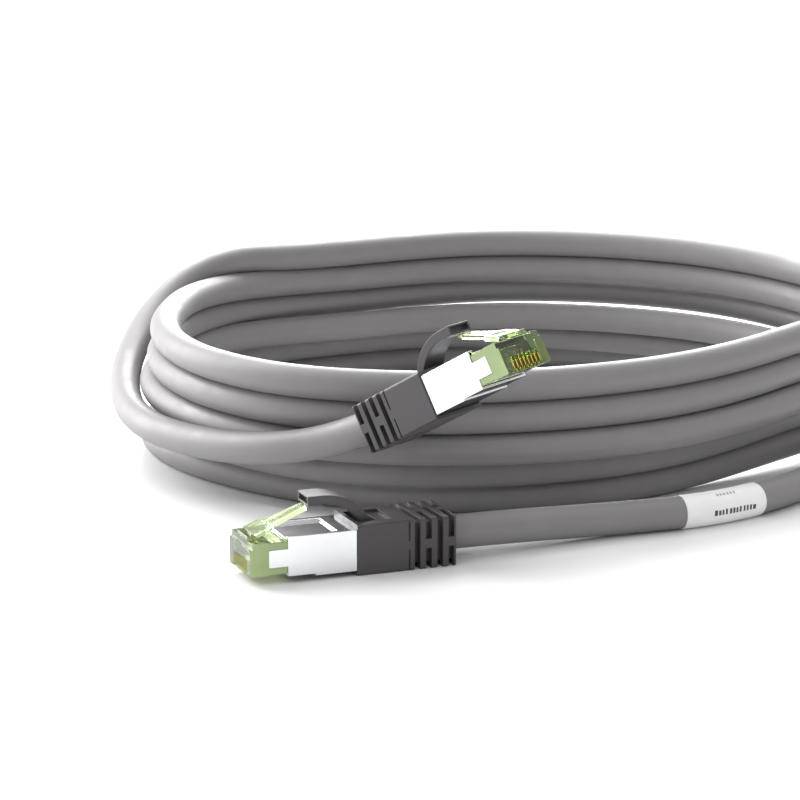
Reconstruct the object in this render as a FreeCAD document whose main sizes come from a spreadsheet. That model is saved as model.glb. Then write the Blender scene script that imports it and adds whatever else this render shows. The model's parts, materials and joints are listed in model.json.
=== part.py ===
import FreeCAD, Part
import math
import os
import Sketcher

Vector = FreeCAD.Vector
Rotation = FreeCAD.Rotation
Placement = FreeCAD.Placement

# Every length is in millimetres and every angle in degrees.
#
# A plug is modelled in its own frame: the mating nose points to -X, the cable leaves along +X,
# the latch is on the +Z side, X = 0 is the plane where the metal shell enters the boot, and the
# X axis is the plug's centre line.
SIZES = {
    # modular plug: body, nose and cavity
    "plug_width": 11.68,
    "nose_tip": -20.5,
    "nose_back": -16.9,
    "nose_height": 6.2,
    "neck_width": 11.0,
    "neck_height": 6.0,
    "neck_back": -2.8,
    "finger_back": -13.4,
    "finger_height": 1.2,
    "finger_level": 2.3,
    "lip_length": 1.0,
    "lip_height": 0.8,
    "cavity_front": -14.0,
    "cavity_width": 9.2,
    "cavity_height": 3.8,
    # contact blades and the slots that hold them
    "contact_pitch": 1.02,
    "slot_width": 0.62,
    "slot_back": -15.4,
    "slot_roof": -0.2,
    "blade_width": 0.4,
    "blade_tip": -20.1,
    "blade_length": 4.2,
    "blade_foot": -2.75,
    "blade_height": 2.45,
    # load bar and wires
    "bar_front": -13.6,
    "bar_length": 4.8,
    "bar_width": 9.0,
    "bar_height": 3.4,
    "hole_radius": 0.5,
    "row_level": 0.7,
    "wire_radius": 0.41,
    "wire_spread_end": -3.4,
    "pair_centre": 0.92,
    "wire_offset": 0.415,
    "foil_front": -2.7,
    "foil_outer": 0.90,
    "foil_inner": 0.85,
    # metal shell
    "shell_width": 11.9,
    "shell_height": 7.7,
    "shell_front": -13.3,
    "sheet_metal": 0.35,
    "ear_height": 3.3,
    "panel_back": -3.4,
    "panel_width": 9.4,
    "panel_level": 3.05,
    "belly_step": -8.0,
    # latch
    "latch_root_x": -18.7,
    "latch_rise": 20.5,
    "latch_root_width": 6.2,
    "latch_root_length": 4.0,
    "latch_tab_width": 3.3,
    "latch_length": 11.6,
    "latch_thick": 1.0,
    "latch_gap": 0.12,
    # boot
    "boot_width": 12.5,
    "boot_height": 9.6,
    "boot_length": 19.4,
    "boot_cavity_end": 10.8,
    "boot_cavity_width": 11.2,
    "boot_cavity_height": 8.2,
    "boot_ceiling": 2.3,
    "boot_edge": 0.5,
    "rib_start": 11.2,
    "rib_pitch": 2.24,
    "groove_width": 1.12,
    "core_width": 9.4,
    "core_height": 7.6,
    "bridge_width": 1.8,
    "score_width": 0.3,
    "score_depth": 0.35,
    "well_front": 0.9,
    "well_back": 5.3,
    "well_floor": 2.9,
    "well_width": 7.8,
    "window_back": 7.6,
    "window_floor": 4.2,
    # latch guard
    "guard_width": 5.6,
    "guard_centre_x": -5.5,
    "guard_centre_z": 0.1,
    "guard_outer": 10.5,
    "guard_inner": 8.7,
    "guard_foot": 3.3,
    "hook_front": -9.0,
    "hook_length": 1.9,
    "hook_drop": 0.25,
    "hook_pocket": 0.9,
    # strain relief and shield ends
    "mould_front": 0.1,
    "mould_back": 10.7,
    "mould_width": 11.0,
    "mould_height": 8.0,
    "mould_top": 2.2,
    "mould_step": 5.4,
    "mould_bore": 3.8,
    "cable_entry": 5.6,
    "braid_length": 3.0,
    "braid_outer": 3.45,
    "crimp_start": 5.8,
    "crimp_length": 2.6,
    "crimp_outer": 3.8,
    "crimp_seat_end": 8.6,
    # cable
    "cable_radius": 3.2,
    "label_thick": 0.15,
    "coil_height": 35.4,
    "coil_outer_long": 83.0,
    "coil_outer_short": 76.0,
    "coil_inner_long": 66.0,
    "coil_inner_short": 57.0,
    "coil_centre_x": 61.7,
    "coil_centre_y": 88.2,
    "coil_turn": -21.6,
    # where the two plugs lie
    "rest_level": 4.8,
    "rest_reach": 5.5,
    "held_x": 14.5,
    "held_y": -1.5,
    "held_z": 32.4,
    "held_yaw": 113.8,
    "held_pitch": 28.2,
    "held_roll": -4.0,
}

CONTACTS = 8
STRAIGHT_REACH = 23.0

# The label wraps this bend of the lead, counted from the plug.
LABEL_BEND = 3

# The stretch of cable from the plug on the floor to the coil: route points in the part's frame,
# after the straight that leaves the boot.
LEAD_A_POINTS = [
    Vector(49.5, 2.4, 3.3),
    Vector(73.5, 1.8, 3.3),
    Vector(99.0, 13.0, 3.3),
    Vector(119.5, 31.0, 3.3),
]

# The stretch from the raised plug down the front of the coil and into its left end.
LEAD_B_POINTS = [
    Vector(-10.4, 38.7, 13.7),
    Vector(-19.5, 64.4, 12.0),
    Vector(-16.9, 88.1, 11.0),
]

doc = FreeCAD.newDocument("patch_cable")


def make_sheet():
    sizes = doc.addObject("Spreadsheet::Sheet", "sizes")
    for row, (word, number) in enumerate(SIZES.items(), start=1):
        sizes.set(f"A{row}", word)
        sizes.set(f"B{row}", str(number))
        sizes.setAlias(f"B{row}", word)
    doc.recompute()
    return sizes


sheet = make_sheet()


def value(expression):
    """The number that an expression over the sheet gives."""
    if isinstance(expression, (int, float)):
        return float(expression)
    return float(sheet.evalExpression(expression))


def size(word):
    """One driving dimension."""
    return float(sheet.get(word))


# ---------------------------------------------------------------- sketch and feature helpers

def new_body(name):
    body = doc.addObject("PartDesign::Body", name)
    body.Label = name
    return body


def new_sketch(body, plane, level):
    """A sketch on one of the body's own planes, moved along that plane's normal."""
    sketch = body.newObject("Sketcher::SketchObject", body.Name + "_sketch")
    support = [part for part in body.Origin.OriginFeatures if part.Role == plane][0]
    sketch.AttachmentSupport = [(support, "")]
    sketch.MapMode = "FlatFace"
    sketch.AttachmentOffset = Placement(Vector(0, 0, value(level)), Rotation())
    sketch.setExpression("AttachmentOffset.Base.z", str(level))
    return sketch


def bind(sketch, kind, geometry, point, expression):
    """A dimension of a sketch that follows the sheet."""
    place = sketch.addConstraint(Sketcher.Constraint(kind, geometry, point, value(expression)))
    sketch.setExpression(f"Constraints[{place}]", str(expression))


def add_polygon(sketch, corners):
    """A closed outline of straight lines, every corner bound to the sheet."""
    points = [Vector(value(x), value(y), 0) for x, y in corners]
    first = sketch.GeometryCount
    count = len(points)
    for k in range(count):
        sketch.addGeometry(Part.LineSegment(points[k], points[(k + 1) % count]), False)
    for k in range(count):
        following = first + (k + 1) % count
        sketch.addConstraint(Sketcher.Constraint("Coincident", first + k, 2, following, 1))
    for k, (x, y) in enumerate(corners):
        bind(sketch, "DistanceX", first + k, 1, x)
        bind(sketch, "DistanceY", first + k, 1, y)


def add_rectangle(sketch, left, right, low, high):
    add_polygon(sketch, [(left, low), (right, low), (right, high), (left, high)])


def add_circle(sketch, radius, x=0, y=0):
    circle = sketch.addGeometry(Part.Circle(Vector(value(x), value(y), 0), Vector(0, 0, 1), value(radius)))
    place = sketch.addConstraint(Sketcher.Constraint("Radius", circle, value(radius)))
    sketch.setExpression(f"Constraints[{place}]", str(radius))
    bind(sketch, "DistanceX", circle, 3, x)
    bind(sketch, "DistanceY", circle, 3, y)


def pad(body, sketch, depth):
    """Material from the sketch along its normal."""
    feature = body.newObject("PartDesign::Pad", body.Name + "_pad")
    feature.Profile = sketch
    feature.Length = value(depth)
    feature.setExpression("Length", str(depth))
    return feature


def pocket(body, sketch, depth):
    """A cut from the sketch against its normal."""
    feature = body.newObject("PartDesign::Pocket", body.Name + "_pocket")
    feature.Profile = sketch
    feature.Length = value(depth)
    feature.setExpression("Length", str(depth))
    return feature


def add_block(body, plane, start, depth, *rectangles):
    """Pads one or more rectangles from a level along the plane's normal."""
    sketch = new_sketch(body, plane, start)
    for rectangle in rectangles:
        add_rectangle(sketch, *rectangle)
    return pad(body, sketch, depth)


def cut_block(body, plane, start, depth, *rectangles):
    """Cuts one or more rectangles between a level and that level plus a depth."""
    sketch = new_sketch(body, plane, f"{start} + {depth}")
    for rectangle in rectangles:
        add_rectangle(sketch, *rectangle)
    return pocket(body, sketch, depth)


def add_tube(name, start, length, outer, inner):
    """A round tube along the plug's centre line."""
    body = new_body(name)
    sketch = new_sketch(body, "YZ_Plane", start)
    add_circle(sketch, outer)
    add_circle(sketch, inner)
    pad(body, sketch, length)
    return body


def repeat(body, feature, axis, spacing, count):
    """Repeats a feature at even steps along one of the body's origin axes."""
    pattern = body.newObject("PartDesign::LinearPattern", body.Name + "_pattern")
    pattern.Originals = [feature]
    line = [part for part in body.Origin.OriginFeatures if part.Role == axis][0]
    pattern.Direction = (line, [""])
    pattern.Length = value(f"{spacing} * {count - 1}")
    pattern.setExpression("Length", f"{spacing} * {count - 1}")
    pattern.Occurrences = count
    body.Tip = pattern
    return pattern


def shape_node(name, shape):
    """A sub-part whose shape is worked out with Part's own functions."""
    node = doc.addObject("Part::Feature", name)
    node.Label = name
    node.Shape = shape
    return node


# ------------------------------------------------------------------------ modular plug pieces

def make_housing(name):
    """Clear plug body: nose block, neck inside the shell, side fingers, cavity and slots."""
    body = new_body(name)
    half_width = "sizes.plug_width / 2"
    half_neck = "sizes.neck_width / 2"
    add_block(body, "YZ_Plane", "sizes.nose_tip", "sizes.nose_back - sizes.nose_tip",
              (f"-{half_width}", half_width, "-sizes.nose_height / 2", "sizes.nose_height / 2"))
    add_block(body, "YZ_Plane", "sizes.nose_back", "sizes.neck_back - sizes.nose_back",
              (f"-{half_neck}", half_neck, "-sizes.neck_height / 2", "sizes.neck_height / 2"))
    low, high = "sizes.finger_level - sizes.finger_height / 2", "sizes.finger_level + sizes.finger_height / 2"
    add_block(body, "YZ_Plane", "sizes.nose_back", "sizes.finger_back - sizes.nose_back",
              (half_neck, half_width, low, high),
              (f"-{half_width}", f"-{half_neck}", low, high),
              (half_neck, half_width, f"-({high})", f"-({low})"),
              (f"-{half_width}", f"-{half_neck}", f"-({high})", f"-({low})"))
    add_block(body, "XY_Plane", "sizes.nose_height / 2", "sizes.lip_height",
              ("sizes.nose_tip + 0.2", "sizes.nose_tip + 0.2 + sizes.lip_length",
               "-sizes.latch_root_width / 2", "sizes.latch_root_width / 2"))
    cut_block(body, "YZ_Plane", "sizes.cavity_front", "sizes.neck_back - sizes.cavity_front",
              ("-sizes.cavity_width / 2", "sizes.cavity_width / 2",
               "-sizes.cavity_height / 2", "sizes.cavity_height / 2"))
    first = f"-sizes.contact_pitch * {(CONTACTS - 1) / 2}"
    slot = cut_block(body, "XY_Plane", "-sizes.nose_height / 2", "sizes.slot_roof + sizes.nose_height / 2",
                     ("sizes.nose_tip", "sizes.slot_back",
                      f"{first} - sizes.slot_width / 2", f"{first} + sizes.slot_width / 2"))
    repeat(body, slot, "Y_Axis", "sizes.contact_pitch", CONTACTS)
    return body


def make_contacts(name):
    """Eight gold-plated blades, one in each slot."""
    blades = []
    for k in range(CONTACTS):
        blade = doc.addObject("Part::Box", f"{name}_blade{k}")
        blade.setExpression("Length", "sizes.blade_length")
        blade.setExpression("Width", "sizes.blade_width")
        blade.setExpression("Height", "sizes.blade_height")
        blade.setExpression("Placement.Base.x", "sizes.blade_tip")
        step = k - (CONTACTS - 1) / 2
        blade.setExpression("Placement.Base.y", f"sizes.contact_pitch * {step} - sizes.blade_width / 2")
        blade.setExpression("Placement.Base.z", "sizes.blade_foot")
        blades.append(blade)
    group = doc.addObject("Part::Compound", name)
    group.Label = name
    group.Links = blades
    return group


def hole_places():
    """Centres of the load bar's holes: two staggered rows, two neighbouring holes per pair."""
    pitch = size("contact_pitch")
    level = size("row_level")
    top = [(pitch * (2 * k - 3.5), level) for k in range(4)]
    bottom = [(pitch * (2 * k - 2.5), -level) for k in range(4)]
    return [top[:2], top[2:], bottom[:2], bottom[2:]]


def make_load_bar(name):
    """Small block that keeps the wires in two staggered rows behind the blades."""
    body = new_body(name)
    add_block(body, "YZ_Plane", "sizes.bar_front", "sizes.bar_length",
              ("-sizes.bar_width / 2", "sizes.bar_width / 2",
               "-sizes.bar_height / 2", "sizes.bar_height / 2"))
    sketch = new_sketch(body, "YZ_Plane", "sizes.bar_front + sizes.bar_length")
    for row, shift in ((1, 3.5), (-1, 2.5)):
        for k in range(4):
            add_circle(sketch, "sizes.hole_radius", f"sizes.contact_pitch * {2 * k - shift}",
                       f"{row} * sizes.row_level")
    pocket(body, sketch, "sizes.bar_length")
    return body


def bent_rod(points, radius):
    """A round rod through a few points, with a ball at each bend."""
    pieces = []
    for start, end in zip(points, points[1:]):
        run = end - start
        pieces.append(Part.makeCylinder(radius, run.Length, start, run))
    for corner in points[1:-1]:
        pieces.append(Part.makeSphere(radius, corner))
    return pieces[0].fuse(pieces[1:])


def make_wire_pair(name, holes, side, row):
    """Two insulated wires from the load bar to their corner of the cable core."""
    rods = []
    for k, (y, z) in enumerate(holes):
        core_y = side * size("pair_centre") + (2 * k - 1) * size("wire_offset")
        core_z = row * size("pair_centre")
        points = [
            Vector(size("bar_front"), y, z),
            Vector(size("bar_front") + size("bar_length") + 0.4, y, z),
            Vector(size("wire_spread_end"), core_y, core_z),
            Vector(size("cable_entry"), core_y, core_z),
        ]
        rods.append(bent_rod(points, size("wire_radius")))
    return shape_node(name, Part.makeCompound(rods))


def make_pair_foils(name):
    """Four foil tubes, one round each pair."""
    length = size("cable_entry") - size("foil_front")
    tubes = []
    for side in (-1, 1):
        for row in (-1, 1):
            base = Vector(size("foil_front"), side * size("pair_centre"), row * size("pair_centre"))
            outer = Part.makeCylinder(size("foil_outer"), length, base, Vector(1, 0, 0))
            inner = Part.makeCylinder(size("foil_inner"), length, base, Vector(1, 0, 0))
            tubes.append(outer.cut(inner))
    return shape_node(name, Part.makeCompound(tubes))


def make_shell(name):
    """Bent sheet shield: box, side ears, sunk top panel and stepped belly."""
    body = new_body(name)
    half_width = "sizes.shell_width / 2"
    half_height = "sizes.shell_height / 2"
    inner_width = f"{half_width} - sizes.sheet_metal"
    inner_height = f"{half_height} - sizes.sheet_metal"
    half_panel = "sizes.panel_width / 2"
    add_block(body, "YZ_Plane", "sizes.shell_front", "-sizes.shell_front",
              (f"-{half_width}", half_width, f"-{half_height}", half_height))
    add_block(body, "YZ_Plane", "sizes.nose_back", "sizes.shell_front - sizes.nose_back",
              (inner_width, half_width, "-sizes.ear_height / 2", "sizes.ear_height / 2"),
              (f"-{half_width}", f"-({inner_width})", "-sizes.ear_height / 2", "sizes.ear_height / 2"))
    cut_block(body, "YZ_Plane", "sizes.shell_front", "-sizes.shell_front",
              (f"-({inner_width})", inner_width, f"-({inner_height})", inner_height))
    add_block(body, "XY_Plane", "sizes.panel_level", f"{inner_height} - sizes.panel_level",
              ("sizes.shell_front", "sizes.panel_back + sizes.sheet_metal",
               f"-{half_panel} - sizes.sheet_metal", f"{half_panel} + sizes.sheet_metal"))
    cut_block(body, "XY_Plane", "sizes.panel_level + sizes.sheet_metal",
              f"{half_height} - sizes.panel_level - sizes.sheet_metal",
              ("sizes.shell_front", "sizes.panel_back", f"-{half_panel}", half_panel))
    add_block(body, "XY_Plane", f"-({inner_height})", f"{inner_height} - sizes.panel_level",
              ("sizes.shell_front", "sizes.belly_step + sizes.sheet_metal",
               f"-({inner_width})", inner_width))
    cut_block(body, "XY_Plane", f"-{half_height}", "sizes.sheet_metal",
              ("sizes.shell_front", "sizes.belly_step", f"-{half_width}", half_width))
    return body


def make_latch(name):
    """Spring latch: wide root and narrow thumb tab, modelled flat and tilted by its placement."""
    body = new_body(name)
    add_block(body, "XY_Plane", "0", "sizes.latch_thick",
              ("sizes.latch_gap", "sizes.latch_root_length",
               "-sizes.latch_root_width / 2", "sizes.latch_root_width / 2"))
    add_block(body, "XY_Plane", "0", "sizes.latch_thick",
              ("sizes.latch_root_length - 0.5", "sizes.latch_length",
               "-sizes.latch_tab_width / 2", "sizes.latch_tab_width / 2"))
    return body


# --------------------------------------------------------------------------- boot and relief

def add_corner_outlines(sketch):
    """Four L-shaped outlines round the core, with a bridge left in the middle of each face."""
    far_y, far_z = "sizes.boot_width", "sizes.boot_height"
    core_y, core_z = "sizes.core_width / 2", "sizes.core_height / 2"
    bridge = "sizes.bridge_width / 2"
    corner = [(bridge, core_z), (core_y, core_z), (core_y, bridge), (far_y, bridge),
              (far_y, far_z), (bridge, far_z)]
    for side in ("1", "-1"):
        for row in ("1", "-1"):
            add_polygon(sketch, [(f"{side} * {y}", f"{row} * {z}") for y, z in corner])


def cut_ring_grooves(body):
    """Full grooves round the boot's tail."""
    sketch = new_sketch(body, "YZ_Plane", "sizes.rib_start + sizes.groove_width")
    add_rectangle(sketch, "-sizes.boot_width", "sizes.boot_width", "-sizes.boot_height", "sizes.boot_height")
    add_rectangle(sketch, "-sizes.core_width / 2", "sizes.core_width / 2",
                  "-sizes.core_height / 2", "sizes.core_height / 2")
    groove = pocket(body, sketch, "sizes.groove_width")
    repeat(body, groove, "X_Axis", "2 * sizes.rib_pitch", 2)


def cut_split_grooves(body):
    """Grooves between the full ones, broken by a bridge on every face."""
    sketch = new_sketch(body, "YZ_Plane", "sizes.rib_start + sizes.rib_pitch + sizes.groove_width")
    add_corner_outlines(sketch)
    groove = pocket(body, sketch, "sizes.groove_width")
    repeat(body, groove, "X_Axis", "2 * sizes.rib_pitch", 2)


def cut_side_scores(body):
    """Thin score lines on both sides, just ahead of the first rib."""
    shallow = "sizes.boot_width / 2 - sizes.score_depth"
    outer = "sizes.boot_width / 2"
    low, high = "sizes.bridge_width / 2", "sizes.core_height / 2"
    cut_block(body, "YZ_Plane", "sizes.rib_start - 1.2", "sizes.score_width",
              (shallow, outer, low, high), (shallow, outer, f"-{high}", f"-{low}"),
              (f"-{outer}", f"-({shallow})", low, high), (f"-{outer}", f"-({shallow})", f"-{high}", f"-{low}"))


def make_boot(name):
    """Soft boot: hollow front, round bore, ribbed tail and the well that the guard stands in."""
    body = new_body(name)
    half_width, half_height = "sizes.boot_width / 2", "sizes.boot_height / 2"
    block = add_block(body, "YZ_Plane", "0", "sizes.boot_length",
                      (f"-{half_width}", half_width, f"-{half_height}", half_height))
    doc.recompute()
    edges = body.newObject("PartDesign::Fillet", name + "_edges")
    long_edges = []
    for number, edge in enumerate(block.Shape.Edges, start=1):
        ends = [vertex.Point for vertex in edge.Vertexes]
        if abs(ends[0].x - ends[1].x) > 1:
            long_edges.append(f"Edge{number}")
    edges.Base = (block, long_edges)
    edges.Radius = size("boot_edge")
    edges.setExpression("Radius", "sizes.boot_edge")
    half_cavity = "sizes.boot_cavity_width / 2"
    cut_block(body, "YZ_Plane", "0", "sizes.mould_step",
              (f"-{half_cavity}", half_cavity, "-sizes.boot_cavity_height / 2", "sizes.boot_ceiling"))
    cut_block(body, "YZ_Plane", "sizes.mould_step", "sizes.boot_cavity_end - sizes.mould_step",
              (f"-{half_cavity}", half_cavity,
               "-sizes.boot_cavity_height / 2", "sizes.boot_cavity_height / 2"))
    bore = new_sketch(body, "YZ_Plane", "sizes.boot_length")
    add_circle(bore, "sizes.cable_radius")
    pocket(body, bore, "sizes.boot_length - sizes.boot_cavity_end")
    half_well = "sizes.well_width / 2"
    cut_block(body, "XY_Plane", "sizes.well_floor", f"{half_height} - sizes.well_floor",
              ("sizes.well_front", "sizes.well_back", f"-{half_well}", half_well))
    cut_block(body, "XY_Plane", "sizes.window_floor", f"{half_height} - sizes.window_floor",
              ("sizes.well_back", "sizes.window_back", f"-{half_well}", half_well))
    cut_side_scores(body)
    cut_ring_grooves(body)
    cut_split_grooves(body)
    return body


def add_guard_profile(sketch):
    """Side view of the guard: a curved arm from the foot up and forward to a flat hook."""
    x, z = size("guard_centre_x"), size("guard_centre_z")
    foot = size("guard_foot")
    centre = Vector(x, z, 0)
    rise = {word: math.asin((foot - z) / size(word)) for word in ("guard_outer", "guard_inner")}
    arcs = []
    for word in ("guard_outer", "guard_inner"):
        circle = Part.Circle(centre, Vector(0, 0, 1), size(word))
        arcs.append(sketch.addGeometry(Part.ArcOfCircle(circle, rise[word], math.pi / 2), False))
        place = sketch.addConstraint(Sketcher.Constraint("Radius", arcs[-1], size(word)))
        sketch.setExpression(f"Constraints[{place}]", f"sizes.{word}")
        bind(sketch, "DistanceX", arcs[-1], 3, "sizes.guard_centre_x")
        bind(sketch, "DistanceY", arcs[-1], 3, "sizes.guard_centre_z")
        bind(sketch, "DistanceY", arcs[-1], 1, "sizes.guard_foot")
        bind(sketch, "DistanceX", arcs[-1], 2, "sizes.guard_centre_x")
    outer, inner = arcs
    front = size("hook_front")
    top_front = Vector(front, z + size("guard_outer"), 0)
    low_front = Vector(front, z + size("guard_inner"), 0)
    outer_foot = sketch.Geometry[outer].StartPoint
    inner_foot = sketch.Geometry[inner].StartPoint
    top = sketch.addGeometry(Part.LineSegment(sketch.Geometry[outer].EndPoint, top_front), False)
    nose = sketch.addGeometry(Part.LineSegment(top_front, low_front), False)
    under = sketch.addGeometry(Part.LineSegment(low_front, sketch.Geometry[inner].EndPoint), False)
    base = sketch.addGeometry(Part.LineSegment(inner_foot, outer_foot), False)
    for first, end, second, start in ((outer, 2, top, 1), (top, 2, nose, 1), (nose, 2, under, 1),
                                      (under, 2, inner, 2), (inner, 1, base, 1), (base, 2, outer, 1)):
        sketch.addConstraint(Sketcher.Constraint("Coincident", first, end, second, start))
    bind(sketch, "DistanceX", nose, 1, "sizes.hook_front")
    bind(sketch, "DistanceY", nose, 1, "sizes.guard_centre_z + sizes.guard_outer")
    bind(sketch, "DistanceX", nose, 2, "sizes.hook_front")
    bind(sketch, "DistanceY", nose, 2, "sizes.guard_centre_z + sizes.guard_inner")


def make_guard(name):
    """Anti-snag guard that arches from the boot over the end of the latch."""
    body = new_body(name)
    half_width = "sizes.guard_width / 2"
    arm = new_sketch(body, "XZ_Plane", f"-{half_width}")
    add_guard_profile(arm)
    pad(body, arm, "sizes.guard_width")
    under = "sizes.guard_centre_z + sizes.guard_inner"
    add_block(body, "XY_Plane", f"{under} - sizes.hook_drop", "sizes.hook_drop + 0.1",
              ("sizes.hook_front", "sizes.hook_front + sizes.hook_length", f"-{half_width}", half_width))
    cut_block(body, "YZ_Plane", "sizes.hook_front", "sizes.hook_pocket",
              (f"-{half_width} + 0.6", f"{half_width} - 0.6",
               f"{under} + 0.1", f"{under} + 1.3"))
    return body


def make_mould(name):
    """Inner strain relief between the shell and the cable jacket."""
    body = new_body(name)
    half_width, half_height = "sizes.mould_width / 2", "sizes.mould_height / 2"
    square = "sizes.pair_centre + sizes.foil_outer + 0.03"
    add_block(body, "YZ_Plane", "sizes.mould_front", "sizes.mould_step - sizes.mould_front",
              (f"-{half_width}", half_width, f"-{half_height}", "sizes.mould_top"))
    add_block(body, "YZ_Plane", "sizes.mould_step", "sizes.mould_back - sizes.mould_step",
              (f"-{half_width}", half_width, f"-{half_height}", half_height))
    cut_block(body, "YZ_Plane", "sizes.mould_front", "sizes.cable_entry - sizes.mould_front",
              (f"-({square})", square, f"-({square})", square))
    for start, end, radius in (("sizes.cable_entry", "sizes.mould_back", "sizes.cable_radius"),
                               ("sizes.mould_step", "sizes.crimp_seat_end", "sizes.mould_bore")):
        sketch = new_sketch(body, "YZ_Plane", end)
        add_circle(sketch, radius)
        pocket(body, sketch, f"{end} - {start}")
    return body


# ------------------------------------------------------------------------------------- cable

def rounded_route(points, label):
    """Straight runs joined by tangent arcs, each arc as large as its two runs allow."""
    edges = []
    radii = []
    start = points[0]
    for before, corner, after in zip(points, points[1:], points[2:]):
        incoming = (corner - before).normalize()
        outgoing = (after - corner).normalize()
        turn = incoming.getAngle(outgoing)
        reach = 0.45 * min((corner - before).Length, (after - corner).Length)
        radius = reach / math.tan(turn / 2)
        first = corner - incoming * reach
        last = corner + outgoing * reach
        inward = (outgoing - incoming).normalize()
        middle = corner + inward * (radius / math.cos(turn / 2) - radius)
        edges.append(Part.LineSegment(start, first).toShape())
        edges.append(Part.Arc(first, middle, last).toShape())
        radii.append(radius)
        start = last
    edges.append(Part.LineSegment(start, points[-1]).toShape())
    print(label, "bend radii", [round(radius, 1) for radius in radii])
    return edges


def sweep_disc(edges, radius):
    """A round rod along a run of edges."""
    spine = Part.Wire(edges)
    direction = edges[0].tangentAt(edges[0].FirstParameter)
    circle = Part.Circle(edges[0].firstVertex().Point, direction, radius)
    rod = spine.makePipeShell([Part.Wire(circle.toShape())], True, False, 2)
    return rod, spine.Length


def make_lead(name, points):
    """A plain tube along a stretch of cable, checked against its section times its length."""
    radius = size("cable_radius")
    edges = rounded_route(points, name)
    rod, length = sweep_disc(edges, radius)
    expected = math.pi * radius ** 2 * length
    assert abs(rod.Volume - expected) < 0.01 * expected, name
    print(name, "length", round(length, 1))
    return shape_node(name, rod), edges


def make_label(name, edges):
    """Wrap-round label on one bend of the cable."""
    bend = [edges[2 * LABEL_BEND - 1]]
    outer, length = sweep_disc(bend, size("cable_radius") + size("label_thick"))
    inner, length = sweep_disc(bend, size("cable_radius"))
    return shape_node(name, outer.cut(inner))


def make_coil(name):
    """Outer shape of the coiled cable: a low oval ring standing on the floor."""
    rings = []
    for word in ("outer", "inner"):
        oval = Part.Ellipse(Vector(0, 0, 0), size(f"coil_{word}_long"), size(f"coil_{word}_short"))
        face = Part.Face(Part.Wire(oval.toShape()))
        rings.append(face.extrude(Vector(0, 0, size("coil_height"))))
    coil = shape_node(name, rings[0].cut(rings[1]))
    turn = Rotation(Vector(0, 0, 1), size("coil_turn"))
    coil.Placement = Placement(Vector(size("coil_centre_x"), size("coil_centre_y"), 0), turn)
    return coil


# ---------------------------------------------------------------------------------- assembly

def latch_place():
    """The latch's root on top of the nose, tilted up towards the boot."""
    root = Vector(size("latch_root_x"), 0, size("nose_height") / 2 + size("latch_gap"))
    return Placement(root, Rotation(Vector(0, 1, 0), -size("latch_rise")))


def plug_pieces(end):
    """All the pieces of one plug, each with its place in the plug's own frame."""
    here = Placement()
    pieces = [
        (make_housing(f"plug_housing_{end}"), here),
        (make_contacts(f"contacts_{end}"), here),
        (make_load_bar(f"load_bar_{end}"), here),
        (make_pair_foils(f"pair_foils_{end}"), here),
        (make_shell(f"shield_shell_{end}"), here),
        (make_latch(f"latch_{end}"), latch_place()),
        (make_boot(f"boot_{end}"), here),
        (make_guard(f"latch_guard_{end}"), here),
        (make_mould(f"inner_mould_{end}"), here),
        (add_tube(f"braid_end_{end}", "sizes.cable_entry", "sizes.braid_length",
                  "sizes.braid_outer", "sizes.cable_radius"), here),
        (add_tube(f"crimp_ring_{end}", "sizes.crimp_start", "sizes.crimp_length",
                  "sizes.crimp_outer", "sizes.braid_outer"), here),
    ]
    colours = ("orange", "green", "blue", "brown")
    corners = ((-1, 1), (1, 1), (-1, -1), (1, -1))
    for colour, holes, (side, row) in zip(colours, hole_places(), corners):
        pieces.append((make_wire_pair(f"wire_pair_{colour}_{end}", holes, side, row), here))
    return pieces


def plug_places():
    """Where each plug's frame lies in the part's frame."""
    rest = Placement(Vector(-size("rest_reach"), 0, size("rest_level")), Rotation())
    held = Placement(Vector(size("held_x"), size("held_y"), size("held_z")),
                     Rotation(size("held_yaw"), size("held_pitch"), size("held_roll")))
    return {"a": rest, "b": held}


def make_assembly():
    nodes = []
    places = plug_places()
    for end, place in places.items():
        for piece, local in plug_pieces(end):
            piece.Placement = place.multiply(local)
            nodes.append(piece)
    entry = Vector(size("cable_entry"), 0, 0)
    straight = Vector(size("cable_entry") + STRAIGHT_REACH, 0, 0)
    for end, points in (("a", LEAD_A_POINTS), ("b", LEAD_B_POINTS)):
        route = [places[end].multVec(entry), places[end].multVec(straight)] + points
        print("route", end, [tuple(round(c, 2) for c in point) for point in route])
        lead, edges = make_lead(f"cable_lead_{end}", route)
        nodes.append(lead)
        if end == "a":
            nodes.append(make_label("label_sleeve", edges))
    nodes.append(make_coil("cable_coil"))
    return nodes


def check_document(nodes):
    """Every object is up to date, every cut removed material, every node is valid."""
    for thing in doc.Objects:
        assert not {"Invalid", "Error"} & set(thing.State), (thing.Name, thing.State)
        cuts = thing.TypeId in ("PartDesign::Pocket", "PartDesign::Groove")
        if cuts:
            assert thing.Shape.Volume < thing.BaseFeature.Shape.Volume - 0.01, thing.Name
    for node in nodes:
        assert not node.Shape.isNull() and node.Shape.isValid(), node.Label


def write_parts(nodes):
    os.makedirs("parts", exist_ok=True)
    for node in nodes:
        node.Shape.exportStep(f"parts/{node.Label}.step")
        print(node.Label, len(node.Shape.Solids), "solids", round(node.Shape.Volume, 2), "mm3")


all_nodes = make_assembly()
doc.recompute()
check_document(all_nodes)
write_parts(all_nodes)
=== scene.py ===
import json
import math
import random

import bmesh
import bpy
from mathutils import Matrix, Vector


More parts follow.
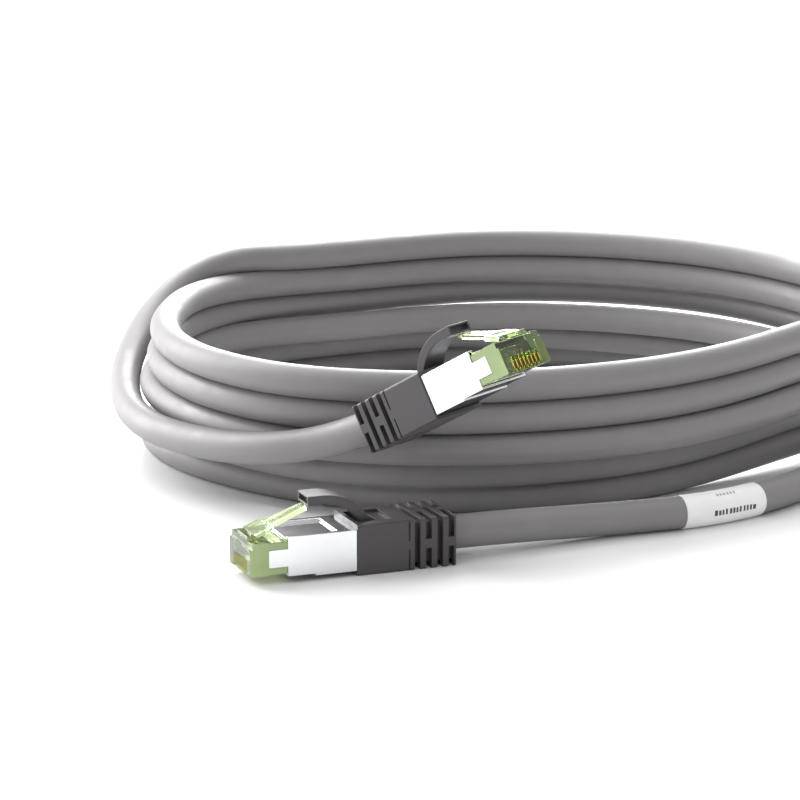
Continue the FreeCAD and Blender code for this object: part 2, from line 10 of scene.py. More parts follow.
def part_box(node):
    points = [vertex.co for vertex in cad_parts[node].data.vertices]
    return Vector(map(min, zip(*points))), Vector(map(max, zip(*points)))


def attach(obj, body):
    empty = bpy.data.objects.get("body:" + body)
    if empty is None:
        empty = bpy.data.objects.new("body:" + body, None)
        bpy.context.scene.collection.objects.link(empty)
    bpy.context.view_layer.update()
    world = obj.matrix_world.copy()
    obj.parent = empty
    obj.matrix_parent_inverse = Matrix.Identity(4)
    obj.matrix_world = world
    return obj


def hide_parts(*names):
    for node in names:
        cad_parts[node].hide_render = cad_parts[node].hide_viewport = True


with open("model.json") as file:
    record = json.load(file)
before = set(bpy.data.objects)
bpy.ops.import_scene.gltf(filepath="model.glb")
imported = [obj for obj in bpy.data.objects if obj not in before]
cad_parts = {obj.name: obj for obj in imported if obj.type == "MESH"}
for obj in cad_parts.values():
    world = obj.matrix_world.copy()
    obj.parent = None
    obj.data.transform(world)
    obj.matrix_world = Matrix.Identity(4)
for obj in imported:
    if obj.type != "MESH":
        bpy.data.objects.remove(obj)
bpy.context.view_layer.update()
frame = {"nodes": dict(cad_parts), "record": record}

MM = 0.001
record = frame["record"]

# ------------------------------------------------------------------------------- the view

VIEW_YAW = math.radians(-21.6)
VIEW_PITCH = math.radians(12.5)
VIEW_TARGET = Vector((56.3, 129.0, 0.0)) * MM
VIEW_DISTANCE = 655.0 * MM
SENSOR = 36.0
LENS = 126.0


def turned(x, y, z):
    """A point of the part's frame from one measured across, into and up the view, in millimetres."""
    return VIEW_TARGET + Matrix.Rotation(VIEW_YAW, 3, "Z") @ Vector((x, y, z)) * MM


def add_camera():
    data = bpy.data.cameras.new("camera")
    data.sensor_width = SENSOR
    data.lens = LENS
    camera = bpy.data.objects.new("camera", data)
    bpy.context.collection.objects.link(camera)
    back = Vector((0, -math.cos(VIEW_PITCH), math.sin(VIEW_PITCH))) * VIEW_DISTANCE
    camera.location = VIEW_TARGET + Matrix.Rotation(VIEW_YAW, 3, "Z") @ back
    camera.rotation_euler = (math.pi / 2 - VIEW_PITCH, 0, VIEW_YAW)
    bpy.context.scene.camera = camera


add_camera()

# ------------------------------------------------------------------------------ the cable

CABLE_RADIUS = 3.2
POINTS_PER_TURN = 24
SPLINE_STEPS = 8
TUBE_FACETS = 10

# The coil's own oval, seen from above: the distance from its middle to an average turn, every
# 30 degrees from its right-hand end, anticlockwise.
COIL_MIDDLE = (20.0, -36.0)
OVAL_STEP = 30.0
OVAL = (81.0, 79.5, 73.5, 69.5, 64.0, 71.0, 71.3, 77.0, 82.0, 76.0, 70.0, 69.0)

# Each turn, from the floor up: how far it stands out from that oval and how high it lies, at
# 60, 120, 180, 240, 300 and 360 degrees. START is the same for the first turn's 0 degrees.
TURN_STEP = 60.0
START = (8.0, 3.2)
TURNS = [
    [(6.0, 3.2), (5.0, 3.2), (3.0, 3.2), (-11.0, 3.2), (-7.5, 3.2), (0.0, 6.2)],
    [(-1.0, 8.8), (4.0, 9.4), (-0.5, 9.3), (-6.0, 9.3), (-5.5, 9.3), (0.0, 12.5)],
    [(-5.0, 14.6), (-4.8, 14.8), (2.0, 15.5), (-1.5, 14.9), (1.0, 15.0), (4.5, 17.2)],
    [(4.0, 19.9), (1.5, 19.9), (0.0, 21.6), (-0.5, 21.3), (0.0, 21.3), (2.0, 23.4)],
    [(-0.8, 25.9), (-1.0, 25.9), (-1.2, 27.7), (0.8, 27.6), (0.0, 27.6), (3.0, 29.7)],
    [(-1.5, 32.2), (-2.0, 32.2), (0.0, 31.8)],
]

COIL_START = -15.0
COIL_END = 5 * 360.0 + 135.0

# From the plug on the floor to the coil, in the part's frame.
LEAD_A_POINTS = [
    (0.1, 0.0, 4.8),
    (23.1, 0.0, 4.8),
    (49.5, 2.4, 3.3),
    (73.5, 1.8, 3.2),
    (99.0, 13.0, 3.2),
    (119.5, 31.0, 3.2),
]

# From the coil's last turn down round its left end, in the view's frame.
LEAD_B_TURNED = [
    (-38.5, 4.0, 32.8),
    (-49.0, -4.0, 29.6),
    (-56.5, -17.0, 23.5),
    (-59.8, -33.0, 17.5),
    (-59.8, -48.0, 13.4),
    (-56.0, -68.0, 11.7),
]

# Along the front of the coil and up to the raised plug, in the part's frame.
LEAD_B_POINTS = [
    (-19.5, 64.4, 12.0),
    (-10.4, 38.7, 13.7),
    (4.33, 21.56, 18.89),
    (12.51, 3.02, 29.75),
]


def eased(first, second, share):
    """A number that leaves the first and reaches the second gently."""
    return first + (second - first) * (0.5 - 0.5 * math.cos(math.pi * share))


def oval_reach(angle):
    """The oval's own reach at an angle, on a smooth line through its twelve distances."""
    place = angle / OVAL_STEP
    first = math.floor(place)
    share = place - first
    before, start, end, after = (OVAL[(first + k) % len(OVAL)] for k in (-1, 0, 1, 2))
    square = 2 * before - 5 * start + 4 * end - after
    cube = 3 * (start - end) + after - before
    return start + 0.5 * share * (end - before + share * (square + share * cube))


def coil_point(angle):
    """The cable's centre line at an angle in degrees, counted on from turn to turn.

    Before 0 degrees it keeps START's place out from the oval, and its height.
    """
    stations = [START] + [station for turn in TURNS for station in turn]
    place = max(angle, 0.0) / TURN_STEP
    first, second = stations[int(place)], stations[int(place) + 1]
    share = place - int(place)
    reach = oval_reach(angle) + eased(first[0], second[0], share)
    radians = math.radians(angle)
    across = COIL_MIDDLE[0] + reach * math.cos(radians)
    into = COIL_MIDDLE[1] + reach * math.sin(radians)
    return turned(across, into, eased(first[1], second[1], share))


def cord_points():
    """The route from the plug on the floor, round the coil and up to the raised plug."""
    points = [Vector(point) * MM for point in LEAD_A_POINTS]
    step = 360.0 / POINTS_PER_TURN
    angle = COIL_START
    while angle <= COIL_END:
        points.append(coil_point(angle))
        angle += step
    points += [turned(*point) for point in LEAD_B_TURNED]
    points += [Vector(point) * MM for point in LEAD_B_POINTS]
    return points


def make_cable():
    data = bpy.data.curves.new("cable", "CURVE")
    data.dimensions = "3D"
    points = cord_points()
    spline = data.splines.new("NURBS")
    spline.points.add(len(points) - 1)
    for place, point in zip(spline.points, points):
        place.co = (*point, 1.0)
    spline.order_u = 3
    spline.use_endpoint_u = True
    spline.resolution_u = SPLINE_STEPS
    data.bevel_depth = CABLE_RADIUS * MM
    data.bevel_resolution = TUBE_FACETS
    data.use_fill_caps = True
    cable = bpy.data.objects.new("cable", data)
    bpy.context.collection.objects.link(cable)
    return cable


def centre_line(cable):
    """Points read from the cable's own spline, in order."""
    bare = bpy.data.objects.new("centre_line", cable.data.copy())
    bare.data.bevel_depth = 0.0
    bpy.context.collection.objects.link(bare)
    mesh = bpy.data.meshes.new_from_object(bare.evaluated_get(bpy.context.evaluated_depsgraph_get()))
    points = [vertex.co.copy() for vertex in mesh.vertices]
    bpy.data.objects.remove(bare)
    return points


cable = make_cable()
cable_line = centre_line(cable)

# ------------------------------------------------------------------------------- materials

MOTTLE_SIZE = 4.0
GRAIN_DETAIL = 2.0
RELIEF = 0.05
# The range that most of a noise pattern falls in.
PATTERN_LOW, PATTERN_HIGH = 0.3, 0.7


def add_node(tree, kind, links, **values):
    """A shader node with some inputs fed by other nodes' outputs and some set to a number."""
    node = tree.nodes.new(kind)
    for name, value in values.items():
        setattr(node, name, value)
    for name, value in links.items():
        if isinstance(value, bpy.types.NodeSocket):
            tree.links.new(value, node.inputs[name])
        else:
            node.inputs[name].default_value = value
    return node


def noise(tree, scale, detail=4.0, stretch=None):
    """A noise pattern over the part's own frame, drawn out along an axis if it is given a stretch."""
    where = add_node(tree, "ShaderNodeTexCoord", {}).outputs["Object"]
    if stretch:
        where = add_node(tree, "ShaderNodeMapping", {"Vector": where, "Scale": stretch}).outputs["Vector"]
    pattern = add_node(tree, "ShaderNodeTexNoise", {"Vector": where, "Scale": scale, "Detail": detail})
    return pattern.outputs["Fac"]


def spread(tree, factor, low, high):
    """The pattern's middle range spread between two numbers."""
    limits = {"From Min": PATTERN_LOW, "From Max": PATTERN_HIGH, "To Min": low, "To Max": high}
    return add_node(tree, "ShaderNodeMapRange", {"Value": factor, **limits}).outputs["Result"]


def tint(colour, share):
    """A colour made lighter or darker."""
    return tuple(min(1.0, channel * share) for channel in colour)


def finish(name, colour, roughness, grain, bump, mottle=0.06, uneven=0.08, stretch=None, **fixed):
    """A moulded, plated or printed finish: mottled colour, uneven gloss and a fine surface grain.

    grain is the size of the surface's finest detail in millimetres and bump is how deep it looks.
    mottle and uneven are how far the colour and the roughness stray, stretch draws the grain out
    along an axis, and the rest are set on the shader's own sockets.
    """
    material = bpy.data.materials.new(name)
    material.use_nodes = True
    tree = material.node_tree
    shader = tree.nodes["Principled BSDF"]
    for socket, value in fixed.items():
        shader.inputs[socket.replace("_", " ")].default_value = value
    cloud = noise(tree, 1.0 / (MOTTLE_SIZE * MM))
    fine = noise(tree, 1.0 / (grain * MM), GRAIN_DETAIL, stretch)
    ramp = add_node(tree, "ShaderNodeValToRGB", {"Fac": cloud})
    dark, light = ramp.color_ramp.elements
    dark.position, light.position = PATTERN_LOW, PATTERN_HIGH
    dark.color = (*tint(colour, 1.0 - mottle), 1.0)
    light.color = (*tint(colour, 1.0 + mottle), 1.0)
    tree.links.new(ramp.outputs["Color"], shader.inputs["Base Color"])
    gloss = spread(tree, cloud, max(roughness - uneven, 0.0), roughness + uneven)
    tree.links.new(gloss, shader.inputs["Roughness"])
    depth = {"Height": fine, "Strength": bump, "Distance": RELIEF * MM}
    relief = add_node(tree, "ShaderNodeBump", depth)
    tree.links.new(relief.outputs["Normal"], shader.inputs["Normal"])
    return material


CLEAR = (0.75, 0.90, 0.49)
ANTHRACITE = (0.054, 0.049, 0.053)
GREY = (0.215, 0.206, 0.212)
WIRE_COLOURS = {
    "orange": (0.78, 0.30, 0.06),
    "green": (0.08, 0.38, 0.14),
    "blue": (0.06, 0.18, 0.52),
    "brown": (0.24, 0.13, 0.06),
}
PLASTIC_IOR = 1.55
SEE_THROUGH = {"uneven": 0.02, "Transmission_Weight": 0.99, "IOR": PLASTIC_IOR}

MATERIALS = {
    "jacket": finish("jacket", GREY, 0.50, 0.35, 0.10, mottle=0.04),
    "label": finish("label", (0.86, 0.86, 0.86), 0.38, 0.25, 0.05, mottle=0.02),
    "clear_plastic": finish("clear_plastic", CLEAR, 0.03, 0.8, 0.02, **SEE_THROUGH),
    "latch_plastic": finish("latch_plastic", CLEAR, 0.04, 0.8, 0.02, **SEE_THROUGH),
    "gold_contacts": finish("gold_contacts", (0.95, 0.66, 0.12), 0.22, 0.2, 0.05, Metallic=0.75),
    "shell_metal": finish(
        "shell_metal", (0.83, 0.84, 0.86), 0.10, 0.2, 0.02, mottle=0.02, uneven=0.04, Metallic=1.0
    ),
    "boot_plastic": finish("boot_plastic", ANTHRACITE, 0.42, 0.18, 0.22),
    "guard_plastic": finish("guard_plastic", ANTHRACITE, 0.38, 0.18, 0.18),
    # Painted shade: the load bar is near-black so that it stands for the shade in the recess behind the
    # contacts.
    "load_bar_plastic": finish("load_bar_plastic", (0.035, 0.050, 0.022), 0.25, 0.4, 0.05),
    "pair_foil": finish("pair_foil", (0.80, 0.81, 0.83), 0.22, 0.5, 0.35, Metallic=1.0),
    "mould_plastic": finish("mould_plastic", (0.025, 0.024, 0.026), 0.6, 0.3, 0.2),
    "braid_metal": finish(
        "braid_metal", (0.64, 0.60, 0.55), 0.35, 0.25, 0.7, stretch=(1.0, 3.0, 3.0), Metallic=1.0
    ),
    "crimp_metal": finish("crimp_metal", (0.66, 0.66, 0.68), 0.30, 0.3, 0.2, Metallic=1.0),
}
for wire, wire_colour in WIRE_COLOURS.items():
    MATERIALS[f"wire_{wire}"] = finish(f"wire_{wire}", wire_colour, 0.4, 0.4, 0.05)
# Finishes for some faces of a piece, or for print on one, and a near-black painted shade for the shell's
# underside.
SATIN_SIDE = finish(
    "satin_side", (0.41, 0.52, 0.25), 0.35, 0.4, 0.05, Transmission_Weight=0.25, IOR=PLASTIC_IOR
)
# Painted shade: near-black, dull metal that stands for the dark reflection the shell's downward faces
# would show over the shadowed floor.
PAINTED_SHADE_UNDERSIDE = finish("shell_painted_shade_underside", (0.016, 0.015, 0.017), 0.40, 0.3, 0.05, Metallic=0.2)
PRINT_INK = finish("print_ink", (0.06, 0.06, 0.065), 0.6, 0.3, 0.05)
PALE_INK = finish("pale_ink", (0.42, 0.42, 0.43), 0.6, 0.3, 0.05)


def dress_frame_nodes():
    """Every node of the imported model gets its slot's finish, also those that a piece replaces."""
    for subpart in record["subparts"]:
        node = frame["nodes"][subpart["node"]]
        for material_slot in node.material_slots:
            material_slot.material = MATERIALS[subpart["material_slot"]]


dress_frame_nodes()

# ------------------------------------------------------------------------ making the pieces

# In a plug's own frame, X = 0 is the boot's front, +X is the way to the cable and +Z is the
# latch's side. These are the guard's hinge and the place where the cable leaves the boot.
GUARD_HINGE = Vector((3.5, 0.0, 3.4))

CUT_MARGIN = 0.5
EDGE_ANGLE = 30.0
EDGE_WEIGHT = 100
WELD_GAP = 0.002
FLAT_ANGLE = 1.0


def plug_matrix(end):
    """From a plug's own frame in millimetres to the part's frame in metres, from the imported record."""
    nose = next(mount for mount in record["mounts"] if mount["name"] == f"plug_{end}_nose")
    hinge = next(joint for joint in record["behaviour"]["joints"] if joint["name"] == f"guard_press_{end}")
    along = -Vector(nose["axis"]).normalized()
    across = -Vector(hinge["axis"]).normalized()
    turn = Matrix((along, across, along.cross(across))).transposed()
    place = Vector(hinge["pos_m"]) - turn @ GUARD_HINGE * MM
    return Matrix.Translation(place) @ turn.to_4x4() @ Matrix.Scale(MM, 4)


def settle(piece, name, slot, body, *stands_for):
    """Gives a finished piece its finish and its body, and hides the nodes it stands for."""
    piece.name = name
    piece.data.materials.clear()
    piece.data.materials.append(MATERIALS[slot])
    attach(piece, body)
    if stands_for:
        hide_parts(*stands_for)


def object_from(bm, name):
    """An object made of a finished bmesh, with its faces turned outward."""
    mesh = bpy.data.meshes.new(name)
    bmesh.ops.recalc_face_normals(bm, faces=bm.faces)
    bm.to_mesh(mesh)
    bm.free()
    piece = bpy.data.objects.new(name, mesh)
    bpy.context.collection.objects.link(piece)
    return piece


def bake(piece):
    """Turns a piece's modifiers into its own mesh."""
    depsgraph = bpy.context.evaluated_depsgraph_get()
    mesh = bpy.data.meshes.new_from_object(piece.evaluated_get(depsgraph))
    piece.modifiers.clear()
    piece.data = mesh


def carve(piece, cutter):
    """Cuts one closed mesh out of another."""
    cut = piece.modifiers.new("carve", "BOOLEAN")
    cut.operation = "DIFFERENCE"
    cut.solver = "EXACT"
    cut.object = cutter
    bake(piece)
    bpy.data.objects.remove(cutter)


def soften(piece, width, segments=3):
    """Rounds a piece's edges by a width in millimetres, and keeps its flat faces flat."""
    piece.data.shade_smooth()
    bevel = piece.modifiers.new("edges", "BEVEL")
    bevel.width = width * MM
    bevel.segments = segments
    bevel.limit_method = "ANGLE"
    bevel.angle_limit = math.radians(EDGE_ANGLE)
    flat = piece.modifiers.new("flat_faces", "WEIGHTED_NORMAL")
    flat.weight = EDGE_WEIGHT
    bake(piece)


def traced_copy(node):
    """A copy of a node's mesh with whole flat faces in place of its triangles."""
    piece = bpy.data.objects.new(node + "_shape", frame["nodes"][node].data.copy())
    bpy.context.collection.objects.link(piece)
    bm = bmesh.new()
    bm.from_mesh(piece.data)
    bmesh.ops.remove_doubles(bm, verts=bm.verts, dist=WELD_GAP * MM)
    bmesh.ops.dissolve_limit(bm, angle_limit=math.radians(FLAT_ANGLE), verts=bm.verts, edges=bm.edges)
    bm.to_mesh(piece.data)
    bm.free()
    return piece


def add_box(bm, low, high):
    """A box between two corners."""
    corners = [(x, y, z) for x in (low[0], high[0]) for y in (low[1], high[1]) for z in (low[2], high[2])]
    verts = [bm.verts.new(corner) for corner in corners]
    for face in ((0, 1, 3, 2), (4, 6, 7, 5), (0, 4, 5, 1), (2, 3, 7, 6), (0, 2, 6, 4), (1, 5, 7, 3)):
        bm.faces.new([verts[k] for k in face])


def add_band(bm, first, second):
    """The faces between two closed rings of corners."""
    for k in range(len(first)):
        following = (k + 1) % len(first)
        bm.faces.new((first[k], first[following], second[following], second[k]))


def add_prism(bm, outline, low, high, place):
    """A prism: place turns a point of the outline and a level between low and high into a corner."""
    rings = [[bm.verts.new(place(u, v, level)) for u, v in outline] for level in (low, high)]
    bm.faces.new(rings[0])
    bm.faces.new(reversed(rings[1]))
    add_band(bm, *rings)


def arc(centre, across, up, start, end, count):
    """Points of an oval's arc between two angles in degrees, from its two half axes."""
    angles = [math.radians(start + (end - start) * k / count) for k in range(count + 1)]
    return [(centre[0] + across * math.cos(a), centre[1] + up * math.sin(a)) for a in angles]


# Where a prism's outline is drawn, in a plug's own frame.


def side_view(u, v, level):
    return (u, level, v)


def end_view(u, v, level):
    return (level, u, v)


def top_view(u, v, level):
    return (u, v, level)


# ------------------------------------------------------------------------------- the pieces

BOOT_HALF_WIDTH = 6.25
BOOT_HALF_HEIGHT = 4.8
SCORE_START = 10.0
SCORE_WIDTH = 0.3
SCORE_DEPTH = 0.35
SCORE_WRAP = 1.2
BOOT_EDGE = 0.12


def make_boot(end, matrix):
    """The ribbed boot, with its score lines carried round the long edges."""
    piece = traced_copy(f"boot_{end}")
    wide, high = BOOT_HALF_WIDTH, BOOT_HALF_HEIGHT
    corner = [
        (wide - SCORE_WRAP, high + CUT_MARGIN),
        (wide + CUT_MARGIN, high + CUT_MARGIN),
        (wide + CUT_MARGIN, high - SCORE_WRAP),
        (wide - SCORE_DEPTH, high - SCORE_WRAP),
        (wide - SCORE_DEPTH, high - SCORE_DEPTH),
        (wide - SCORE_WRAP, high - SCORE_DEPTH),
    ]
    bm = bmesh.new()
    for side, row in ((-1, -1), (-1, 1), (1, -1), (1, 1)):
        outline = [(side * y, row * z) for y, z in corner]
        add_prism(bm, outline, SCORE_START, SCORE_START + SCORE_WIDTH, end_view)
    cutter = object_from(bm, "score_lines")
    cutter.data.transform(matrix)
    carve(piece, cutter)
    soften(piece, BOOT_EDGE)
    settle(piece, f"boot_shape_{end}", "boot_plastic", "root", f"boot_{end}")


GUARD_TIP = -8.3
GUARD_HALF_WIDTH = 2.8
GUARD_CENTRE = (-5.5, 0.1)
GUARD_OUTER = (10.5, 10.0)
GUARD_INNER = (8.7, 8.3)
GUARD_FOOT = 3.3
HOOK_LENGTH = 1.9
HOOK_UNDER = 8.2
GUARD_ARC_STEPS = 28
GUARD_EDGE = 0.16
# The hollow in the end of the hook: the walls left at its sides, and above and below it.
POCKET_SIDE = 0.5
POCKET_WALL = 0.4
POCKET_DEPTH = 1.0


def make_guard(end, matrix):
    """The springy guard over the latch: an arm that arches up and forward to a hooked end."""
    sides = []
    for across, up in (GUARD_OUTER, GUARD_INNER):
        foot = math.degrees(math.asin((GUARD_FOOT - GUARD_CENTRE[1]) / up))
        sides.append(arc(GUARD_CENTRE, across, up, foot, 90.0, GUARD_ARC_STEPS))
    top = GUARD_CENTRE[1] + GUARD_OUTER[1]
    outline = sides[0] + [(GUARD_TIP, top), (GUARD_TIP, HOOK_UNDER)]
    outline += [(GUARD_TIP + HOOK_LENGTH, HOOK_UNDER)] + sides[1][::-1]
    bm = bmesh.new()
    add_prism(bm, outline, -GUARD_HALF_WIDTH, GUARD_HALF_WIDTH, side_view)
    piece = object_from(bm, "guard")
    pocket = bmesh.new()
    wide = GUARD_HALF_WIDTH - POCKET_SIDE
    low, high = HOOK_UNDER + POCKET_WALL, top - POCKET_WALL
    add_box(pocket, (GUARD_TIP - CUT_MARGIN, -wide, low), (GUARD_TIP + POCKET_DEPTH, wide, high))
    carve(piece, object_from(pocket, "pocket"))
    piece.data.transform(matrix)
    soften(piece, GUARD_EDGE)
    settle(piece, f"guard_shape_{end}", "guard_plastic", f"guard_{end}", f"latch_guard_{end}")


LATCH_ROOT = Vector((-18.7, 0.0, 3.22))
LATCH_RISE = math.radians(20.5)
LATCH_THICK = 0.95
LATCH_EDGE = 0.09
# Half of the latch seen from above: distance from the root and half width.
LATCH_OUTLINE = [
    (0.12, 2.9),
    (0.5, 3.1),
    (3.3, 3.1),
    (4.6, 1.75),
    (10.6, 1.5),
    (11.3, 1.3),
    (11.6, 0.9),
]
# Two hollows in its upper face, along the tab and across the root: where each starts and stops,
# its half width and its depth.
LATCH_HOLLOWS = [(4.9, 10.4, 0.55, 0.3), (1.0, 3.4, 1.9, 0.25)]


def make_latch(end, matrix):
    """The clear latch: a wide root that narrows to a thumb tab, with a shallow hollow in each."""
    outline = LATCH_OUTLINE + [(x, -y) for x, y in LATCH_OUTLINE[::-1]]
    bm = bmesh.new()
    add_prism(bm, outline, 0.0, LATCH_THICK, top_view)
    piece = object_from(bm, "latch")
    hollows = bmesh.new()
    for start, stop, wide, deep in LATCH_HOLLOWS:
        low, high = LATCH_THICK - deep, LATCH_THICK + CUT_MARGIN
        add_box(hollows, (start, -wide, low), (stop, wide, high))
    carve(piece, object_from(hollows, "hollows"))
    tilt = Matrix.Translation(LATCH_ROOT) @ Matrix.Rotation(-LATCH_RISE, 4, "Y")
    piece.data.transform(matrix @ tilt)
    soften(piece, LATCH_EDGE)
    settle(piece, f"latch_shape_{end}", "latch_plastic", f"latch_{end}", f"latch_{end}")


HOUSING_SIDE = 5.5
SIDE_SHARE = 0.9
HOUSING_EDGE = 0.08
NOSE_STEP = ((-21.0, -7.0, 1.9), (-20.05, 7.0, 4.5))


def make_housing(end, matrix):
    """The clear plug body, satin on its two sides, with a step across the top of its nose."""
    piece = traced_copy(f"plug_housing_{end}")
    bm = bmesh.new()
    add_box(bm, *NOSE_STEP)
    cutter = object_from(bm, "nose_step")
    cutter.data.transform(matrix)
    carve(piece, cutter)
    soften(piece, HOUSING_EDGE, 2)
    settle(piece, f"housing_shape_{end}", "clear_plastic", "root", f"plug_housing_{end}")
    piece.data.materials.append(SATIN_SIDE)
    across = matrix.to_3x3().col[1].normalized()
    middle = matrix.translation.dot(across)
    for face in piece.data.polygons:
        outward = face.normal.dot(across) * (face.center.dot(across) - middle)
        if outward > SIDE_SHARE * HOUSING_SIDE * MM:
            face.material_index = 1


SHELL_EDGE = 0.07
FACES_DOWN = 0.7


def make_shell(end, matrix):
    """The bent metal shell with softened folds, with painted shade on its underside: near-black faces in
    place of a dark reflection.
    """
    piece = traced_copy(f"shield_shell_{end}")
    soften(piece, SHELL_EDGE, 2)
    settle(piece, f"shell_shape_{end}", "shell_metal", "root", f"shield_shell_{end}")
    piece.data.materials.append(PAINTED_SHADE_UNDERSIDE)
    # Faces that point down get the painted shade instead of the shell's metal.
    down = -matrix.to_3x3().col[2].normalized()
    for face in piece.data.polygons:
        if face.normal.dot(down) > FACES_DOWN:
            face.material_index = 1


CONTACT_COUNT = 8
CONTACT_PITCH = 1.02
BLADE_HALF = 0.2
BLADE_FRONT = -20.3
BLADE_BACK = -15.9
BLADE_LOW = -2.75
BLADE_HIGH = -0.3
BLADE_CORNER = 0.7
# The blade's top is low in front, where it wipes the jack's wires, and steps up behind.
LIP_HIGH = -0.95
LIP_BACK = -19.3
LIP_SLOPE = 0.2
TEETH = 3
TOOTH_HEIGHT = 0.5
TOOTH_TOP = (0.25, 0.75)
CONTACT_EDGE = 0.05


def make_contacts(end, matrix):
    """Eight stamped blades: a rounded wiping corner in front and piercing teeth along the top."""
    corner = (BLADE_FRONT + BLADE_CORNER, BLADE_LOW + BLADE_CORNER)
    valley = BLADE_HIGH - TOOTH_HEIGHT
    outline = [(LIP_BACK, valley), (LIP_BACK - LIP_SLOPE, LIP_HIGH), (BLADE_FRONT, LIP_HIGH)]
    outline += arc(corner, BLADE_CORNER, BLADE_CORNER, 180.0, 270.0, 8)
    outline += [(BLADE_BACK, BLADE_LOW), (BLADE_BACK, valley)]
    step = (BLADE_BACK - LIP_BACK) / (TEETH + 0.5)
    for k in range(TEETH):
        x = BLADE_BACK - k * step
        outline += [(x - share * step, BLADE_HIGH) for share in TOOTH_TOP]
        outline.append((x - step, valley))
    bm = bmesh.new()
    for k in range(CONTACT_COUNT):
        middle = (k - (CONTACT_COUNT - 1) / 2) * CONTACT_PITCH
        add_prism(bm, outline, middle - BLADE_HALF, middle + BLADE_HALF, side_view)
    piece = object_from(bm, "contacts")
    piece.data.transform(matrix)
    soften(piece, CONTACT_EDGE, 2)
    settle(piece, f"contact_shapes_{end}", "gold_contacts", "root", f"contacts_{end}")


# -------------------------------------------------------------------------------- the label

LABEL_THICK = 0.14
LABEL_LAP = 0.10
LABEL_SUNK = 0.05
LABEL_SHARP = 40.0
# Where the loose edge's overlap starts, and how far round it goes.
LAP_START = 200.0
LAP_TURN = 28.0
RING = 64


def label_stretch():
    """The part of the cable's line that the label wraps, between its CAD node's two ends."""
    low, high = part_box("label_sleeve")
    on_floor = [p for p in cable_line if p.z < 2 * CABLE_RADIUS * MM]
    return [p for p in on_floor if low.x <= p.x <= high.x and p.y <= high.y]


def side_and_up(line, place):
    """Two directions across the cable at one of the line's points: level to its right, and up."""
    before, after = line[max(place - 1, 0)], line[min(place + 1, len(line) - 1)]
    along = (after - before).normalized()
    side = along.cross(Vector((0, 0, 1))).normalized()
    return side, side.cross(along).normalized()


def wrap_point(line, place, angle, radius):
    """A point round the cable at one of the line's points."""
    side, up = side_and_up(line, place)
    return line[place] + (side * math.cos(angle) + up * math.sin(angle)) * radius * MM


def lap_radius(angle):
    """The label's outer radius: it steps out where its loose edge laps over, low at the back."""
    turn = (math.degrees(angle) - LAP_START) % 360.0
    return CABLE_RADIUS + LABEL_THICK + (LABEL_LAP if turn < LAP_TURN else 0.0)


def make_label():
    """The wrap label round the cable, as a closed sleeve, and the line that it follows."""
    line = label_stretch()
    bm = bmesh.new()
    angles = [math.tau * k / RING for k in range(RING)]
    outer_radii = [lap_radius(angle) for angle in angles]
    inner_radii = [CABLE_RADIUS - LABEL_SUNK] * RING
    skins = []
    for radii in (outer_radii, inner_radii):
        rings = []
        for place in range(len(line)):
            rings.append([bm.verts.new(wrap_point(line, place, a, r)) for a, r in zip(angles, radii)])
        skins.append(rings)
    for rings in skins:
        for first, second in zip(rings, rings[1:]):
            add_band(bm, first, second)
    outer, inner = skins
    for place in (0, -1):
        add_band(bm, outer[place], inner[place])
    piece = object_from(bm, "label")
    piece.data.shade_smooth()
    piece.data.set_sharp_from_angle(angle=math.radians(LABEL_SHARP))
    settle(piece, "label_wrap", "label", "root", "label_sleeve")
    return piece, line


PRINT_PROUD = 0.02
DASH_PARTS = 3
# Two rows of plain dashes stand for print. Each row is a name, an ink, the shares of the label's
# length where it starts and ends, its middle's angle round the cable, its height in degrees round
# the cable, and how many dashes it has.
PRINT_ROWS = [
    ("print_top", PALE_INK, 0.40, 0.66, 62.0, 12.0, 6),
    ("print_bottom", PRINT_INK, 0.33, 0.86, -2.0, 20.0, 12),
]


def along_line(line, share):
    """The point at a share of the line's length, and the number of the line's point before it."""
    place = share * (len(line) - 1)
    first = min(int(place), len(line) - 2)
    return line[first].lerp(line[first + 1], place - first), first


def add_dash(bm, line, ends, low, high):
    """A patch just proud of the label, between two shares of its length and two angles round it."""
    radius = CABLE_RADIUS + LABEL_THICK + PRINT_PROUD
    columns = []
    for share in ends:
        middle, place = along_line(line, share)
        side, up = side_and_up(line, place)
        column = []
        for part in range(DASH_PARTS + 1):
            turn = low + (high - low) * part / DASH_PARTS
            outward = side * math.cos(turn) + up * math.sin(turn)
            column.append(bm.verts.new(middle + outward * radius * MM))
        columns.append(column)
    first, second = columns
    for part in range(DASH_PARTS):
        bm.faces.new((first[part], second[part], second[part + 1], first[part + 1]))


def make_print(line, name, ink, start, end, angle, tall, count):
    """A row of short printed dashes on the label."""
    draw = random.Random(count)
    bm = bmesh.new()
    pitch = (end - start) / count
    for k in range(count):
        left = start + k * pitch
        right = left + pitch * draw.uniform(0.55, 0.75)
        low = math.radians(angle - tall / 2)
        high = low + math.radians(tall) * draw.uniform(0.8, 1.0)
        add_dash(bm, line, (left, right), low, high)
    piece = object_from(bm, name)
    settle(piece, name, "label", "root")
    piece.data.materials[0] = ink
    return piece


# ------------------------------------------------------------------------- putting together

for end in "ab":
    matrix = plug_matrix(end)
    for make in (make_boot, make_guard, make_latch, make_housing, make_shell, make_contacts):
        make(end, matrix)

label, label_line = make_label()
prints = [make_print(label_line, *row) for row in PRINT_ROWS]

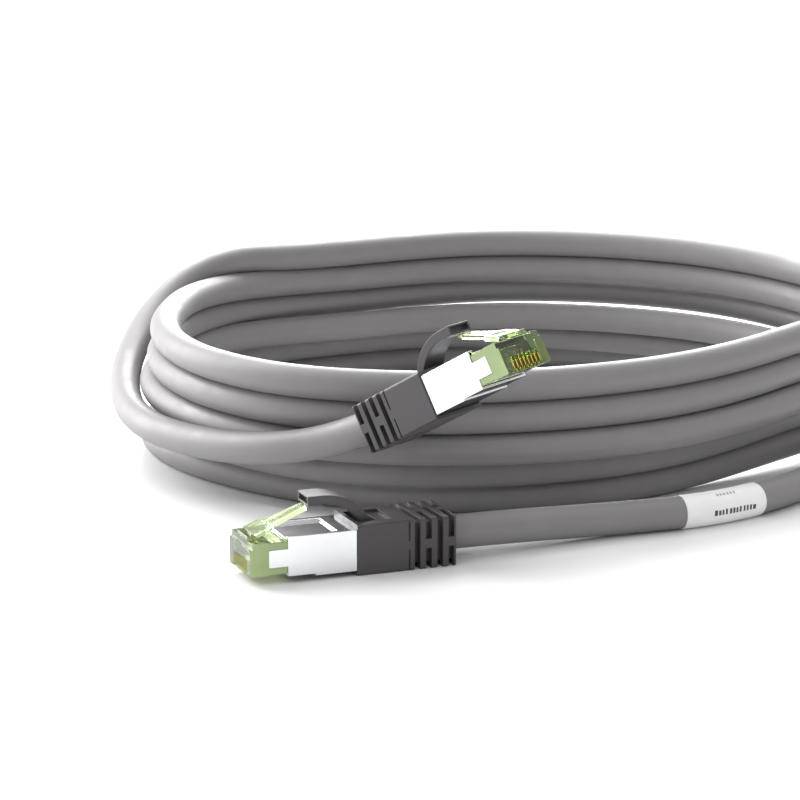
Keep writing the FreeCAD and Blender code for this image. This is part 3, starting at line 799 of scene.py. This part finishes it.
settle(cable, "cable", "jacket", "root", "cable_lead_a", "cable_coil", "cable_lead_b")
PLUG_SHAPES = (
    "boot_shape",
    "guard_shape",
    "latch_shape",
    "housing_shape",
    "shell_shape",
    "contact_shapes",
)
INNER_NODES = ["load_bar", "pair_foils", "inner_mould", "braid_end", "crimp_ring"]
INNER_NODES += [f"wire_pair_{wire}" for wire in WIRE_COLOURS]
on_cable = [bpy.data.objects[f"{name}_b"] for name in PLUG_SHAPES]
on_cable += [frame["nodes"][f"{name}_b"] for name in INNER_NODES]

# ------------------------------------------------------------------------- floor and lights

FLOOR_REACH = 4.0
FLOOR_COLOUR = (0.80, 0.80, 0.80)
# The way to the room's brightest side, and how its light fades from there, in the view's frame.
BRIGHT_WAY = (-0.62, 0.60, 0.50)
ROOM_FADE = {"From Min": -0.6, "From Max": 0.45, "To Min": 0.62, "To Max": 1.15}
SUN_PLACE = (-560.0, 420.0, 640.0)
SUN_ENERGY = 1.75
SUN_SPREAD = 40.0
# Each soft box: name, size across, energy, place and what it points at, in the view's frame.
SOFT_BOXES = [
    ("left", 260.0, 1.25, (-330.0, 100.0, 120.0), (0.0, -20.0, 0.0)),
    ("rear", 320.0, 2.8, (20.0, 270.0, 210.0), (20.0, 0.0, 10.0)),
]


def make_floor():
    mesh = bpy.data.meshes.new("floor")
    reach = FLOOR_REACH
    corners = [(-reach, -reach, 0), (reach, -reach, 0), (reach, reach, 0), (-reach, reach, 0)]
    mesh.from_pydata(corners, [], [(0, 1, 2, 3)])
    floor = bpy.data.objects.new("floor", mesh)
    bpy.context.collection.objects.link(floor)
    mesh.materials.append(finish("floor", FLOOR_COLOUR, 0.6, 4.0, 0.0, mottle=0.0))


def make_world():
    """A pale room, brightest behind the object and to its upper left, and dimmer in front."""
    world = bpy.data.worlds.new("world")
    bpy.context.scene.world = world
    world.use_nodes = True
    tree = world.node_tree
    where = add_node(tree, "ShaderNodeTexCoord", {}).outputs["Generated"]
    bright_way = (turned(*BRIGHT_WAY) - VIEW_TARGET).normalized()
    share = add_node(tree, "ShaderNodeVectorMath", {0: where, 1: bright_way}, operation="DOT_PRODUCT")
    fade = {"Value": share.outputs["Value"], **ROOM_FADE}
    strength = add_node(tree, "ShaderNodeMapRange", fade).outputs["Result"]
    background = tree.nodes["Background"]
    background.inputs["Color"].default_value = (1.0, 1.0, 1.0, 1.0)
    tree.links.new(strength, background.inputs["Strength"])


def aim(light, place, at):
    """Puts a light in the scene, pointing from one place at another in the view's frame."""
    lamp = bpy.data.objects.new(light.name, light)
    bpy.context.collection.objects.link(lamp)
    lamp.location = turned(*place)
    lamp.rotation_euler = (turned(*at) - lamp.location).to_track_quat("-Z", "Y").to_euler()
    lamp.visible_camera = False


def add_soft_box(name, size, energy, place, at):
    light = bpy.data.lights.new(name, "AREA")
    light.shape = "DISK"
    light.size = size * MM
    light.energy = energy
    aim(light, place, at)


def make_lights():
    """A broad light from above the far left, and soft boxes close to the coil's left end and back."""
    broad = bpy.data.lights.new("broad", "SUN")
    broad.energy = SUN_ENERGY
    broad.angle = math.radians(SUN_SPREAD)
    aim(broad, SUN_PLACE, (0.0, 0.0, 0.0))
    for soft_box in SOFT_BOXES:
        add_soft_box(*soft_box)


make_floor()
make_world()
make_lights()
bpy.context.scene.view_settings.view_transform = "Standard"
